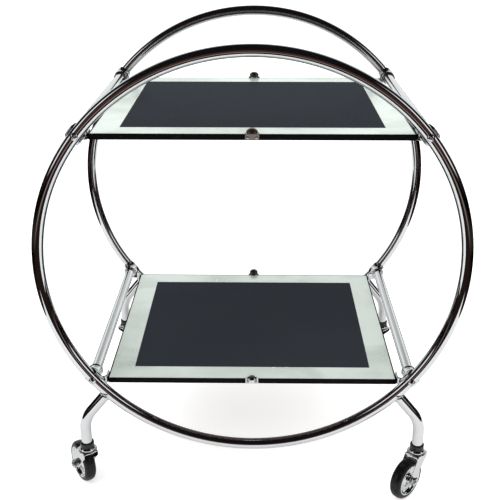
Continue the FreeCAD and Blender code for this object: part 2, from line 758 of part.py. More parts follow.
save("glass_clips", front_and_back([glass_clip(top) for top in shelf_tops.values()]))
save("clip_pads", front_and_back([glass_pad(top) for top in shelf_tops.values()]))
save("clip_knobs", front_and_back([clip_knob(top) for top in shelf_tops.values()]))
clip_screws = [clip_screw(side, top) for side in (-1, 1) for top in shelf_tops.values()]
save("clip_screws", front_and_back(clip_screws))

left_leg = leg(-1)
right_leg = leg(1)
save("front_left_leg", [left_leg])
save("front_right_leg", [right_leg])
save("rear_left_leg", [half_turn(right_leg)])
save("rear_right_leg", [half_turn(left_leg)])

save("caster_stems", at_every_caster([stem()]))
save("swivel_cups", at_every_caster([swivel_cup()]))
save("swivel_balls", at_every_caster(bearing_balls()))
for name in caster_places:
    save(name + "_leg_socket", at_caster(name, [leg_socket()]))
    save(name + "_fork", at_caster(name, [fork()]))
    save(name + "_axle_bolt", at_caster(name, [axle_bolt()]))
    save(name + "_axle_nut", at_caster(name, [axle_nut()]))
    save(name + "_hub", at_caster(name, [hub()]))
    save(name + "_tyre", at_caster(name, [tyre()]))
    save(name + "_bush", at_caster(name, [bush()]))
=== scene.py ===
import bmesh
import bpy
import math
import numpy as np
import openvdb
from mathutils import Matrix, Vector


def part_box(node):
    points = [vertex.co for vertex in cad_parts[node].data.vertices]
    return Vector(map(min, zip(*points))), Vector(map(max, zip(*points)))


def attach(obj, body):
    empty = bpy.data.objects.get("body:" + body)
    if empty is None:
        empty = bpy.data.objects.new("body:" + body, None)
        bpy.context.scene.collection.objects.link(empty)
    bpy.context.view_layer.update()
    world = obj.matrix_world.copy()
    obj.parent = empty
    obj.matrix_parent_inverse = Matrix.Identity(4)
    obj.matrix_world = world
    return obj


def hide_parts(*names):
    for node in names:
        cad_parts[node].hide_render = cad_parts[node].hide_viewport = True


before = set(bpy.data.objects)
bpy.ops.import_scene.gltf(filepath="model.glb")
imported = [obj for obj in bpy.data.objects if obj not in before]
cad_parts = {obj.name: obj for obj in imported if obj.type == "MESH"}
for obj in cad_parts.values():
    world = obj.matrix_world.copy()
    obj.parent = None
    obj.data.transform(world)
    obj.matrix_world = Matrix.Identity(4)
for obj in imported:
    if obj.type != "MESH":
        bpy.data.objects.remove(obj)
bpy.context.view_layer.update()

# The finished look of a round bar cart: chrome hoops and fittings, two black-framed shelves with a silvered
# border round dark glass, and four swivel casters. Metres, in the CAD frame. Places come from the CAD nodes.

MM = 0.001
CART = "cart"
UP = Vector((0, 0, 1))
ACROSS = Vector((1, 0, 0))
BACK = Vector((0, 1, 0))

# Facing rings and steps of the meshes
HOOP_STEPS = 360
TUBE_SIDES = 40
TURNED_STEPS = 72
CORNER_STEPS = 6
FINE_STEP = 0.35            # millimetres, for the small formed pieces
FORK_STEP = 0.6

# Sizes that the CAD nodes' boxes don't give, in millimetres
LEG_ANGLE = 43.7            # degrees below the hoop's centre
LEG_SHANK = 56.0
LEG_BEND = 62.0
WELD_BEAD = 1.5
WELD_STEPS = 72
WELD_SIDES = 12
SADDLE_WALL = 3.0
SADDLE_HALF = 15.0
SADDLE_FLARE = 12.0
SADDLE_REACH = 28.0
COLLAR_RADIUS = 10.9
COLLAR_LIP = 1.5
FIT = 0.15                  # the gap that the CAD leaves between fitted pieces
BOLT_RISE = 3.6             # how far a bolt's head stands out of its hoop
BOLT_BALL = 7.2             # the radius of its dome
BOLT_HEAD = 6.0             # the radius of its rim
BOLT_SEAT = 7.4             # from the hoop's centre line to the underside of the head
BOLT_SLOT = 0.7             # half the slot's width
FRAME_WALL = 1.5
FRAME_LEDGE = 12.0
FRAME_CORNER = 2.0
GLASS = 5.0
BOARD = 3.0
GLASS_GAP = 0.5
PANEL_GAP = 0.1
EDGE = 0.5                  # the arris on the glass edges
BRACKET_BEND = 5.0
BRACKET_WALL = 3.0
BRACKET_HEIGHT = 14.0
BRACKET_PAD = 13.0
RIVET_INSET = 11.5          # from the end of the shelf's side to a rivet
CLIP_HALF = 11.0
CLIP_WALL = 1.5
CLIP_TAB = 9.0
KNOB_OUT = 4.5              # from the frame's face to a knob's middle
KNOB_LIFT = 2.5             # from the glass to a knob's foot
SCREW_OUT = 7.0             # from a clip's middle to a screw


# Places read from the frame

def middle(node):
    """The middle of a CAD node's box."""
    low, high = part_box(node)
    return (low + high) / 2


hoop_low, hoop_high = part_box("front_hoop")
TUBE = (hoop_high.y - hoop_low.y) / 2
HOOP = (hoop_high.x - hoop_low.x) / 2 - TUBE
HOOP_Z = middle("front_hoop").z
HOOP_Y = -middle("front_hoop").y
CROSS_TUBES = [level + "_" + side + "_cross_tube" for level in ("upper", "lower") for side in ("left", "right")]
CORNERS = ["front_left", "front_right", "rear_left", "rear_right"]
LEVELS = ["upper", "lower"]


# Mesh helpers

def mesh_of(name, points, faces, smooth=True):
    """A mesh with outward normals from points in metres and faces."""
    mesh = bpy.data.meshes.new(name)
    mesh.from_pydata([tuple(p) for p in points], [], faces)
    build = bmesh.new()
    build.from_mesh(mesh)
    bmesh.ops.remove_doubles(build, verts=build.verts, dist=1e-7)
    bmesh.ops.recalc_face_normals(build, faces=build.faces)
    build.to_mesh(mesh)
    build.free()
    mesh.polygons.foreach_set("use_smooth", [smooth] * len(mesh.polygons))
    return mesh


def joined(name, meshes, places=None):
    """One mesh from several, each moved by its matrix."""
    build = bmesh.new()
    for mesh, place in zip(meshes, places or [Matrix.Identity(4)] * len(meshes)):
        start = len(build.verts)
        build.from_mesh(mesh)
        build.verts.ensure_lookup_table()
        bmesh.ops.transform(build, matrix=place, verts=build.verts[start:])
    whole = bpy.data.meshes.new(name)
    bmesh.ops.recalc_face_normals(build, faces=build.faces)
    build.to_mesh(whole)
    build.free()
    return whole


def piece(name, mesh, material, body, slot, *nodes, crisp=True):
    """An object that rides on a body and stands for CAD nodes."""
    mesh.materials.clear()
    mesh.materials.append(material)
    thing = bpy.data.objects.new(name, mesh)
    bpy.context.scene.collection.objects.link(thing)
    if crisp:
        even = thing.modifiers.new("even_shading", "WEIGHTED_NORMAL")
        even.weight = 60
    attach(thing, body)
    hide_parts(*nodes)
    return thing


def ring_faces(rings, sides, closed):
    """Quads between rings of points, round and round."""
    faces = []
    for i in range(rings if closed else rings - 1):
        a = i * sides
        b = (i + 1) % rings * sides
        faces += [(a + j, a + (j + 1) % sides, b + (j + 1) % sides, b + j) for j in range(sides)]
    return faces


def tube_mesh(name, path, radius, side_way, sides=TUBE_SIDES, closed=False, capped=True):
    """A round bar along a path that lies in the plane square to side_way."""
    count = len(path)
    points = []
    for i, here in enumerate(path):
        after = path[(i + 1) % count] if closed or i < count - 1 else here
        before = path[i - 1] if closed or i > 0 else here
        along = (after - before).normalized()
        out = along.cross(side_way).normalized()
        for j in range(sides):
            angle = 2 * math.pi * j / sides
            points.append(here + (side_way * math.cos(angle) + out * math.sin(angle)) * radius)
    faces = ring_faces(count, sides, closed)
    if capped and not closed:
        faces += [tuple(range(sides)), tuple(range((count - 1) * sides, count * sides))]
    return mesh_of(name, points, faces)


def softened(outline, radius, closed=False):
    """An outline of (x, y) points with its corners rounded."""
    count = len(outline)
    soft = []
    for i, (x, y) in enumerate(outline):
        if not closed and i in (0, count - 1):
            soft.append((x, y))
            continue
        here = Vector((x, y))
        before = Vector(outline[i - 1]) - here
        after = Vector(outline[(i + 1) % count]) - here
        cut = min(radius, before.length * 0.45, after.length * 0.45)
        start = here + before.normalized() * cut
        end = here + after.normalized() * cut
        for step in range(CORNER_STEPS + 1):
            t = step / CORNER_STEPS
            point = start * (1 - t) ** 2 + here * 2 * t * (1 - t) + end * t ** 2
            soft.append((point.x, point.y))
    return soft


def turned_mesh(name, outline, rounding=0.3, steps=TURNED_STEPS, closed=False):
    """A body turned about Z from (radius, height) points in millimetres, with soft corners."""
    soft = softened(outline, rounding, closed)
    points = []
    for r, z in soft:
        for j in range(steps):
            angle = 2 * math.pi * j / steps
            points.append(Vector((r * math.cos(angle), r * math.sin(angle), z)) * MM)
    return mesh_of(name, points, ring_faces(len(soft), steps, closed))


def rounded_rectangle(half_x, half_y, corner):
    """The points of a rounded rectangle, anticlockwise."""
    points = []
    for number, (sx, sy) in enumerate(((1, 1), (-1, 1), (-1, -1), (1, -1))):
        for step in range(CORNER_STEPS + 1):
            angle = math.pi / 2 * (number + step / CORNER_STEPS)
            points.append((sx * (half_x - corner) + corner * math.cos(angle),
                           sy * (half_y - corner) + corner * math.sin(angle)))
    return points


def framed_mesh(name, half_x, half_y, corner, profile, closed):
    """A rounded rectangle swept through (inset, height) points in millimetres; capped if it isn't closed."""
    points = []
    for inset, z in profile:
        ring = rounded_rectangle(half_x - inset, half_y - inset, max(corner - inset, 0.2))
        points += [Vector((x, y, z)) * MM for x, y in ring]
    sides = 4 * (CORNER_STEPS + 1)
    faces = ring_faces(len(profile), sides, closed)
    if not closed:
        faces += [tuple(range(sides)), tuple(range((len(profile) - 1) * sides, len(profile) * sides))]
    return mesh_of(name, points, faces)


# Solids given by a signed distance in millimetres, for formed and cast pieces with soft joins

def blend_in(a, b, soft):
    """The union of two distances, with a fillet."""
    mix = np.clip(0.5 + 0.5 * (b - a) / soft, 0, 1)
    return b * (1 - mix) + a * mix - soft * mix * (1 - mix)


def keep_in(a, b, soft):
    """The part of one solid inside another, with a rounded edge."""
    return -blend_in(-a, -b, soft)


def cut_out(a, b, soft):
    """One solid less another, with a rounded edge."""
    return keep_in(a, -b, soft)


def rod_distance(across, along, radius, low, high):
    """A round rod of a radius between two heights."""
    return np.maximum(across - radius, np.maximum(low - along, along - high))


def block_distance(p, low, high, corner):
    """A block with rounded edges between two corners."""
    inside = [np.abs(v - (a + b) / 2) - (b - a) / 2 + corner for v, a, b in zip(p, low, high)]
    outside = np.sqrt(sum(np.maximum(d, 0) ** 2 for d in inside))
    return outside + np.minimum(np.maximum.reduce(inside), 0) - corner


def polygon_distance(x, y, corners):
    """The signed distance to a polygon given anticlockwise."""
    nearest = np.full(x.shape, 1e9)
    inside = np.zeros(x.shape, bool)
    for (ax, ay), (bx, by) in zip(corners, corners[1:] + corners[:1]):
        ex, ey = bx - ax, by - ay
        t = np.clip(((x - ax) * ex + (y - ay) * ey) / (ex * ex + ey * ey), 0, 1)
        nearest = np.minimum(nearest, np.hypot(x - ax - ex * t, y - ay - ey * t))
        crosses = (ay > y) != (by > y)
        edge_x = ax + ex * (y - ay) / (ey if ey else 1e-9)
        inside ^= crosses & (x < edge_x)
    return np.where(inside, -nearest, nearest)


def carved_mesh(name, distance, low, high, step=FINE_STEP):
    """The skin of a solid given by a distance function of (x, y, z) in millimetres."""
    axes = [np.arange(a - 2 * step, b + 3 * step, step) for a, b in zip(low, high)]
    x, y, z = np.meshgrid(*axes, indexing="ij")
    grid = openvdb.FloatGrid(background=10.0)
    grid.copyFromArray(distance(x, y, z).astype(np.float32))
    points, triangles, quads = grid.convertToPolygons(isovalue=0.0, adaptivity=0.0)
    start = np.array([axis[0] for axis in axes])
    points = (points * step + start) * MM
    return mesh_of(name, points, [tuple(map(int, f)) for f in quads] + [tuple(map(int, f)) for f in triangles])


# Materials

class Surface:
    """A Principled material with helpers for its detail."""

    def __init__(self, name, base, roughness, metallic=0.0, specular=0.5):
        self.material = bpy.data.materials.new(name)
        self.material.use_nodes = True
        self.nodes = self.material.node_tree.nodes
        self.links = self.material.node_tree.links
        self.shader = self.nodes["Principled BSDF"]
        self.shader.inputs["Base Color"].default_value = (*base, 1)
        self.shader.inputs["Roughness"].default_value = roughness
        self.shader.inputs["Metallic"].default_value = metallic
        self.shader.inputs["Specular IOR Level"].default_value = specular
        self.place = self.nodes.new("ShaderNodeTexCoord").outputs["Object"]
        self.bumps = None

    def pattern(self, scale, stretch=(1, 1, 1), detail=4.0, distortion=0.0):
        """A noise over the piece, per metre, stretched along its axes."""
        mapping = self.nodes.new("ShaderNodeMapping")
        mapping.inputs["Scale"].default_value = stretch
        self.links.new(self.place, mapping.inputs["Vector"])
        noise = self.nodes.new("ShaderNodeTexNoise")
        noise.inputs["Scale"].default_value = scale
        noise.inputs["Detail"].default_value = detail
        noise.inputs["Distortion"].default_value = distortion
        self.links.new(mapping.outputs["Vector"], noise.inputs["Vector"])
        return noise.outputs["Fac"]

    def ranged(self, value, from_low, from_high, low, high):
        """A value mapped from one range to another, and kept in it."""
        node = self.nodes.new("ShaderNodeMapRange")
        self.links.new(value, node.inputs["Value"])
        for name, number in (("From Min", from_low), ("From Max", from_high), ("To Min", low), ("To Max", high)):
            node.inputs[name].default_value = number
        return node.outputs["Result"]

    def added(self, a, b):
        """The sum of two values."""
        node = self.nodes.new("ShaderNodeMath")
        self.links.new(a, node.inputs[0])
        self.links.new(b, node.inputs[1])
        return node.outputs["Value"]

    def colours(self, value, first, second):
        """The base colour, from first to second as the value goes from 0 to 1."""
        mix = self.nodes.new("ShaderNodeMix")
        mix.data_type = "RGBA"
        self.links.new(value, mix.inputs["Factor"])
        current = self.shader.inputs["Base Color"]
        if current.is_linked:
            self.links.new(current.links[0].from_socket, mix.inputs["A"])
        else:
            mix.inputs["A"].default_value = (*first, 1)
        mix.inputs["B"].default_value = (*second, 1)
        self.links.new(mix.outputs["Result"], current)

    def rough(self, value):
        """The roughness from a value."""
        self.links.new(value, self.shader.inputs["Roughness"])

    def bump(self, value, height, strength=1.0):
        """Relief of a height in metres, added to what is there."""
        node = self.nodes.new("ShaderNodeBump")
        node.inputs["Strength"].default_value = strength
        node.inputs["Distance"].default_value = height
        self.links.new(value, node.inputs["Height"])
        if self.bumps:
            self.links.new(self.bumps, node.inputs["Normal"])
        self.bumps = node.outputs["Normal"]
        self.links.new(self.bumps, self.shader.inputs["Normal"])


def chrome(name, tone, haze, pits=0.0, least=0.012):
    """Bright plate: a faint haze, fine wiping marks and, where it is worn, tiny dark pits."""
    look = Surface(name, tone, 0.05, metallic=1.0)
    cloud = look.pattern(9, detail=5)
    wipes = look.pattern(420, detail=3)
    darker = tuple(0.9 * part for part in tone)
    look.colours(look.ranged(cloud, 0.35, 0.7, 0, 1), tone, darker)
    if pits:
        speck = look.pattern(1400, detail=1)
        look.colours(look.ranged(speck, 0.74, 0.8, 0, pits), tone, (0.2, 0.16, 0.12))
    look.rough(look.added(look.ranged(cloud, 0.3, 0.75, least, least + haze),
                          look.ranged(wipes, 0.45, 0.8, 0, haze)))
    look.bump(wipes, 0.000004)
    return look.material


def enamel():
    """Gloss black enamel with a slight orange peel and rubbed patches."""
    look = Surface("black_enamel", (0.003, 0.003, 0.0035), 0.2, specular=0.03)
    rub = look.pattern(38, (1, 1, 1), detail=6, distortion=0.6)
    peel = look.pattern(520, detail=2)
    look.colours(look.ranged(rub, 0.62, 0.8, 0, 1), (0.003, 0.003, 0.0035), (0.011, 0.0105, 0.0105))
    look.rough(look.ranged(rub, 0.35, 0.75, 0.14, 0.34))
    look.bump(peel, 0.00001)
    return look.material


def silvered_glass():
    """The border: silvering behind glass, faintly green, with soft clouding and wiping streaks."""
    look = Surface("silvered_border", (0.83, 0.9, 0.85), 0.05, metallic=0.5, specular=0.4)
    cloud = look.pattern(7, (1, 1.6, 1), detail=3, distortion=0.8)
    streak = look.pattern(60, (1, 0.12, 1), detail=4)
    look.colours(look.ranged(cloud, 0.42, 0.72, 0, 1), (0.84, 0.91, 0.86), (0.62, 0.7, 0.64))
    look.colours(look.ranged(streak, 0.6, 0.95, 0, 0.2), (0, 0, 0), (0.9, 0.92, 0.93))
    look.rough(look.added(look.ranged(cloud, 0.4, 0.8, 0.2, 0.3), look.ranged(streak, 0.5, 0.9, 0, 0.06)))
    look.bump(look.pattern(18, detail=2), 0.00002)
    return look.material


def dark_glass():
    """The centre panel: blue-black glass with fine dust and a few wiping marks."""
    look = Surface("dark_glass", (0.031, 0.035, 0.043), 0.08, metallic=0.25, specular=0.0)
    look.shader.inputs["Specular Tint"].default_value = (0.4, 0.4, 0.4, 1)
    cloud = look.pattern(5, detail=4, distortion=0.5)
    dust = look.pattern(900, detail=2)
    wipe = look.pattern(30, (0.15, 1, 1), detail=5, distortion=0.4)
    look.colours(look.ranged(cloud, 0.3, 0.7, 0, 1), (0.0335, 0.0375, 0.0455), (0.0365, 0.0405, 0.0485))
    look.colours(look.ranged(dust, 0.72, 0.8, 0, 0.25), (0, 0, 0), (0.2, 0.2, 0.2))
    look.rough(look.added(look.ranged(wipe, 0.4, 0.8, 0.25, 0.28), look.ranged(dust, 0.6, 0.8, 0, 0.08)))
    look.bump(dust, 0.000003)
    return look.material


def hardboard():
    """Dark stained hardboard, with the fibre of its pressed face."""
    look = Surface("stained_hardboard", (0.06, 0.04, 0.028), 0.6)
    fibre = look.pattern(260, (1, 0.25, 1), detail=6, distortion=1.2)
    blotch = look.pattern(12, detail=4)
    look.colours(look.ranged(fibre, 0.3, 0.75, 0, 1), (0.075, 0.05, 0.034), (0.035, 0.024, 0.017))
    look.colours(look.ranged(blotch, 0.45, 0.8, 0, 0.6), (0, 0, 0), (0.045, 0.03, 0.02))
    look.rough(look.ranged(fibre, 0.3, 0.8, 0.5, 0.75))
    look.bump(fibre, 0.0001)
    return look.material


def rubber(name, base, worn):
    """Black rubber: satin, with dust in the low places and a fine moulded grain."""
    look = Surface(name, base, 0.5, specular=0.25)
    dust = look.pattern(85, detail=6, distortion=0.5)
    grain = look.pattern(1500, detail=2)
    look.colours(look.ranged(dust, 0.5, 0.8, 0, 1), base, worn)
    look.rough(look.ranged(dust, 0.35, 0.75, 0.2, 0.45))
    look.bump(grain, 0.00003)
    return look.material


def plastic(name, base, marked):
    """Moulded plastic with a spark-eroded grain and scuffs."""
    look = Surface(name, base, 0.35)
    scuff = look.pattern(140, (1, 1, 0.3), detail=5)
    grain = look.pattern(1800, detail=1)
    look.colours(look.ranged(scuff, 0.6, 0.8, 0, 1), base, marked)
    look.rough(look.ranged(scuff, 0.4, 0.8, 0.25, 0.5))
    look.bump(grain, 0.00002)
    return look.material


def steel(name, base, dull):
    """Turned or zinc-plated steel: lathe marks, a patchy sheen."""
    look = Surface(name, base, 0.25, metallic=1.0)
    patch = look.pattern(160, detail=4, distortion=0.4)
    marks = look.pattern(900, (1, 1, 3), detail=2)
    look.colours(look.ranged(patch, 0.4, 0.75, 0, 1), base, dull)
    look.rough(look.added(look.ranged(patch, 0.3, 0.75, 0.12, 0.3), look.ranged(marks, 0.5, 0.9, 0, 0.1)))
    look.bump(marks, 0.00001)
    return look.material


TUBE_CHROME = chrome("tube_chrome", (0.8, 0.81, 0.83), 0.035, pits=0.4)
FITTING_CHROME = chrome("fitting_chrome", (0.78, 0.79, 0.81), 0.06, pits=0.6)
CASTER_CHROME = chrome("caster_chrome", (0.78, 0.79, 0.8), 0.07, pits=0.7)
HUB_CHROME = chrome("hub_chrome", (0.8, 0.81, 0.82), 0.05, pits=0.5)
KNOB_CHROME = chrome("knob_chrome", (0.19, 0.145, 0.11), 0.08, pits=0.3, least=0.24)
ENAMEL = enamel()
BORDER = silvered_glass()
DARK = dark_glass()
HARDBOARD = hardboard()
TYRE = rubber("tyre_rubber", (0.004, 0.004, 0.0045), (0.016, 0.0155, 0.015))
PAD = rubber("pad_rubber", (0.015, 0.015, 0.015), (0.03, 0.03, 0.03))
SOCKET = plastic("socket_plastic", (0.003, 0.003, 0.0035), (0.014, 0.014, 0.015))
NYLON = plastic("natural_nylon", (0.72, 0.69, 0.6), (0.5, 0.47, 0.4))
BRIGHT = steel("bright_steel", (0.62, 0.62, 0.62), (0.45, 0.44, 0.42))
ZINC = steel("zinc_steel", (0.68, 0.69, 0.7), (0.5, 0.5, 0.49))


# Hoops and tubes

def hoop_point(angle, y):
    """A point on a hoop's centre line."""
    return Vector((HOOP * math.cos(angle), y, HOOP_Z + HOOP * math.sin(angle)))


def make_hoops():
    """The two big tube rings."""
    for name, y in (("front_hoop", -HOOP_Y), ("rear_hoop", HOOP_Y)):
        path = [hoop_point(2 * math.pi * i / HOOP_STEPS, y) for i in range(HOOP_STEPS)]
        mesh = tube_mesh(name + "_ring", path, TUBE, BACK, closed=True)
        piece(name + "_ring", mesh, TUBE_CHROME, CART, "chrome_tube", name, crisp=False)


def make_cross_tubes():
    """The four tubes between the hoops, with a turned-in edge at each end."""
    for node in CROSS_TUBES:
        low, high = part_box(node)
        radius = (high.x - low.x) / 2
        centre = middle(node)
        lip = 0.6 * MM
        path = [Vector((centre.x, y, centre.z)) for y in np.linspace(low.y + lip, high.y - lip, 24)]
        mesh = tube_mesh(node + "_bar", path, radius, ACROSS)
        piece(node + "_bar", mesh, TUBE_CHROME, CART, "chrome_tube", node)


def saddle_distance(x, y, z):
    """A saddle where x runs along the hoop, y back along the cross tube and z out from the hoop's centre."""
    ring = np.hypot(z + HOOP / MM, x) - HOOP / MM
    from_tube = np.hypot(ring, y)
    bore = TUBE / MM + FIT
    sleeve = np.abs(from_tube - bore - SADDLE_WALL / 2) - SADDLE_WALL / 2
    ends = SADDLE_HALF - 9 * (1 - np.clip(y / 9, 0, 1)) ** 2
    sleeve = keep_in(sleeve, np.abs(x) - ends, 1.5)
    sleeve = keep_in(sleeve, -y - 0.4, 1.0)
    across = np.hypot(x, z)
    flare = SADDLE_FLARE + (COLLAR_RADIUS - SADDLE_FLARE) * np.clip((y - 5) / 13, 0, 1)
    collar = rod_distance(across, y, flare, 4, SADDLE_REACH)
    lip = np.hypot(across - COLLAR_RADIUS, y - SADDLE_REACH + COLLAR_LIP + 0.1) - COLLAR_LIP
    solid = blend_in(blend_in(sleeve, collar, 5), lip, 1.2)
    return cut_out(solid, from_tube - bore, 0.3)


def saddle_places():
    """Each cross tube's two ends: a matrix from saddle space to the frame."""
    for node in CROSS_TUBES:
        centre = middle(node)
        angle = math.atan2(centre.z - HOOP_Z, centre.x)
        out = Vector((math.cos(angle), 0, math.sin(angle)))
        for end in (-1, 1):
            back = BACK * -end
            along = back.cross(out)
            spot = hoop_point(angle, end * HOOP_Y)
            yield Matrix.Translation(spot) @ Matrix((along, back, out)).transposed().to_4x4()


def make_saddles():
    """The cast saddles that join the cross tubes to the hoops."""
    reach = SADDLE_HALF + 1
    one = carved_mesh("saddle", saddle_distance, (-reach, -1, -reach), (reach, SADDLE_REACH + 1, reach), 0.7)
    places = list(saddle_places())
    whole = joined("cast_saddles", [one] * len(places), places)
    piece("cast_saddles", whole, FITTING_CHROME, CART, "chrome_fitting", "saddles", crisp=False)


def bolt_distance(x, y, z):
    """A slotted domed head that stands on the hoop's tube; y points away from the head."""
    top = TUBE / MM + BOLT_RISE
    dome = np.sqrt(x ** 2 + (y + top - BOLT_BALL) ** 2 + z ** 2) - BOLT_BALL
    head = keep_in(dome, np.hypot(x, z) - BOLT_HEAD, 0.6)
    head = keep_in(head, y + BOLT_SEAT, 0.2)
    slot = np.maximum(np.abs(z) - BOLT_SLOT, y + top - 1.5)
    return cut_out(head, slot, 0.3)


def make_bolts():
    """The bolt heads on the hoops' faces."""
    one = carved_mesh("bolt", bolt_distance, (-7, -14, -7), (7, -7, 7), 0.25)
    whole = joined("bolt_heads", [one] * 8, list(saddle_places()))
    piece("bolt_heads", whole, FITTING_CHROME, CART, "chrome_fitting", "hoop_bolts", crisp=False)


def leg_path(side, y):
    """The line of a leg: down and out from the hoop, a bend, and straight down to the foot."""
    weld = hoop_point(-math.radians(LEG_ANGLE), y)
    weld.x *= side
    low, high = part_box("front_right_leg")
    leg_x = high.x - TUBE
    knee = Vector((side * leg_x, y, low.z + LEG_SHANK * MM))
    foot = Vector((side * leg_x, y, low.z))
    slope = (knee - weld).normalized()
    turn = slope.angle(-UP)
    radius = LEG_BEND * MM
    tangent = radius * math.tan(turn / 2)
    centre = knee - UP * tangent - ACROSS * (side * radius)
    path = [weld + slope * (TUBE * 0.4) + (knee - slope * tangent - weld - slope * (TUBE * 0.4)) * t
            for t in np.linspace(0, 1, 10)]
    for step in range(1, 24):
        angle = turn * (1 - step / 24)
        path.append(centre + (ACROSS * (side * math.cos(angle)) + UP * math.sin(angle)) * radius)
    path += [knee - UP * tangent + (foot - knee + UP * tangent) * t for t in np.linspace(0, 1, 8)]
    return path, slope, weld


def weld_bead(name, weld, slope, y):
    """The bead round a leg where it meets its hoop."""
    side_way = slope.cross(BACK)
    path = []
    for i in range(WELD_STEPS):
        angle = 2 * math.pi * i / WELD_STEPS
        rim = (BACK * math.cos(angle) + side_way * math.sin(angle)) * TUBE
        reach = 0.0
        for _ in range(30):
            spot = weld + slope * reach + rim
            from_centre = Vector((spot.x, 0, spot.z - HOOP_Z)).length - HOOP
            reach += TUBE - math.hypot(from_centre, spot.y - y)
        path.append(weld + slope * reach + rim)
    points = []
    for i, here in enumerate(path):
        along = (path[(i + 1) % WELD_STEPS] - path[i - 1]).normalized()
        out = along.cross(slope).normalized()
        level = out.cross(along)
        for j in range(WELD_SIDES):
            angle = 2 * math.pi * j / WELD_SIDES
            points.append(here + (out * math.cos(angle) + level * math.sin(angle)) * WELD_BEAD * MM)
    return mesh_of(name, points, ring_faces(WELD_STEPS, WELD_SIDES, True))


def make_legs():
    """The four bent legs with their weld beads."""
    for corner in CORNERS:
        side = -1 if "left" in corner else 1
        y = -HOOP_Y if "front" in corner else HOOP_Y
        path, slope, weld = leg_path(side, y)
        bar = tube_mesh(corner + "_leg_tube", path, TUBE, BACK)
        bead = weld_bead(corner + "_bead", weld, slope, y)
        whole = joined(corner + "_bent_leg", [bar, bead])
        piece(corner + "_bent_leg", whole, TUBE_CHROME, CART, "chrome_tube", corner + "_leg")


# Shelves

def make_shelf(level):
    """One shelf: the angle frame, the board, the silvered border and the dark panel."""
    low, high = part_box(level + "_shelf_frame")
    half_x, half_y = high.x / MM, high.y / MM
    bottom, top = low.z / MM, high.z / MM
    rim = softened([(0, bottom), (0, top), (FRAME_WALL, top), (FRAME_WALL, bottom + FRAME_WALL),
                    (FRAME_LEDGE, bottom + FRAME_WALL), (FRAME_LEDGE, bottom)], 0.45, closed=True)
    frame_mesh = framed_mesh(level + "_angle_frame", half_x, half_y, FRAME_CORNER, rim, True)
    piece(level + "_angle_frame", frame_mesh, ENAMEL, CART, "frame_black", level + "_shelf_frame")
    in_x = half_x - FRAME_WALL - GLASS_GAP
    in_y = half_y - FRAME_WALL - GLASS_GAP
    under = top - GLASS
    board = softened([(20, under - BOARD), (0, under - BOARD), (0, under), (20, under)], 0.3)
    board_mesh = framed_mesh(level + "_board", in_x, in_y, 0.5, board, False)
    piece(level + "_board", board_mesh, HARDBOARD, CART, "backing_board", level + "_backing_board")
    panel_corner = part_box(level + "_centre_panel")[1]
    panel_x, panel_y = panel_corner.x / MM, panel_corner.y / MM
    border_mesh = border_ring(level + "_silvered_border", in_x, in_y, panel_x + PANEL_GAP, panel_y + PANEL_GAP,
                              under, top)
    piece(level + "_silvered_border", border_mesh, BORDER, CART, "mirror_border", level + "_mirror_border")
    edge = softened([(20, under), (0, under), (0, top), (20, top)], EDGE)
    panel_mesh = framed_mesh(level + "_dark_panel", panel_x, panel_y, 0.6, edge, False)
    piece(level + "_dark_panel", panel_mesh, DARK, CART, "black_glass", level + "_centre_panel")


def border_ring(name, out_x, out_y, in_x, in_y, low, high):
    """A flat glass ring with a ground arris on its edges."""
    outer = [(0, low + EDGE), (0, high - EDGE), (EDGE * 0.4, high - EDGE * 0.3), (EDGE, high)]
    inner = [(-EDGE, high), (-EDGE * 0.4, high - EDGE * 0.3), (0, high - EDGE), (0, low + EDGE), (-EDGE, low)]
    points = []
    for inset, z in outer:
        points += [Vector((x, y, z)) * MM for x, y in rounded_rectangle(out_x - inset, out_y - inset, 1.0)]
    for inset, z in inner:
        points += [Vector((x, y, z)) * MM for x, y in rounded_rectangle(in_x - inset, in_y - inset, 0.5)]
    points += [Vector((x, y, low)) * MM for x, y in rounded_rectangle(out_x - EDGE, out_y - EDGE, 1.0)]
    return mesh_of(name, points, ring_faces(len(outer) + len(inner) + 1, 4 * (CORNER_STEPS + 1), True))


def bracket_mesh(level):
    """The front right bracket: a pad on the shelf's side that curls out to the saddle."""
    low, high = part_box(level + "_shelf_frame")
    joint = middle(level + "_right_cross_tube")
    bend = BRACKET_BEND
    thick = BRACKET_WALL
    height = BRACKET_HEIGHT
    bend_y = -high.y / MM + bend
    face = high.x / MM
    bottom = low.z / MM
    centre_x = face + thick + bend
    reach = bend + thick / 2
    line = [(face + thick / 2, bend_y + BRACKET_PAD), (face + thick / 2, bend_y)]
    for step in range(1, 12):
        angle = math.pi / 2 * step / 12
        line.append((centre_x - reach * math.cos(angle), bend_y - reach * math.sin(angle)))
    line.append((centre_x, bend_y - reach))
    line.append((joint.x / MM - thick / 2, bend_y - reach))

    def distance(x, y, z):
        flat = np.full(x.shape, 1e9)
        for (ax, ay), (bx, by) in zip(line, line[1:]):
            ex, ey = bx - ax, by - ay
            t = np.clip(((x - ax) * ex + (y - ay) * ey) / (ex * ex + ey * ey), 0, 1)
            flat = np.minimum(flat, np.hypot(x - ax - ex * t, y - ay - ey * t))
        strip = flat - thick / 2
        slab = np.abs(z - bottom - height / 2) - height / 2
        return keep_in(strip, slab, 1.0)

    return carved_mesh("bracket", distance, (face - 1, bend_y - reach - thick, bottom - 1),
                       (joint.x / MM + 2, bend_y + BRACKET_PAD + 2, bottom + height + 1), 0.4)


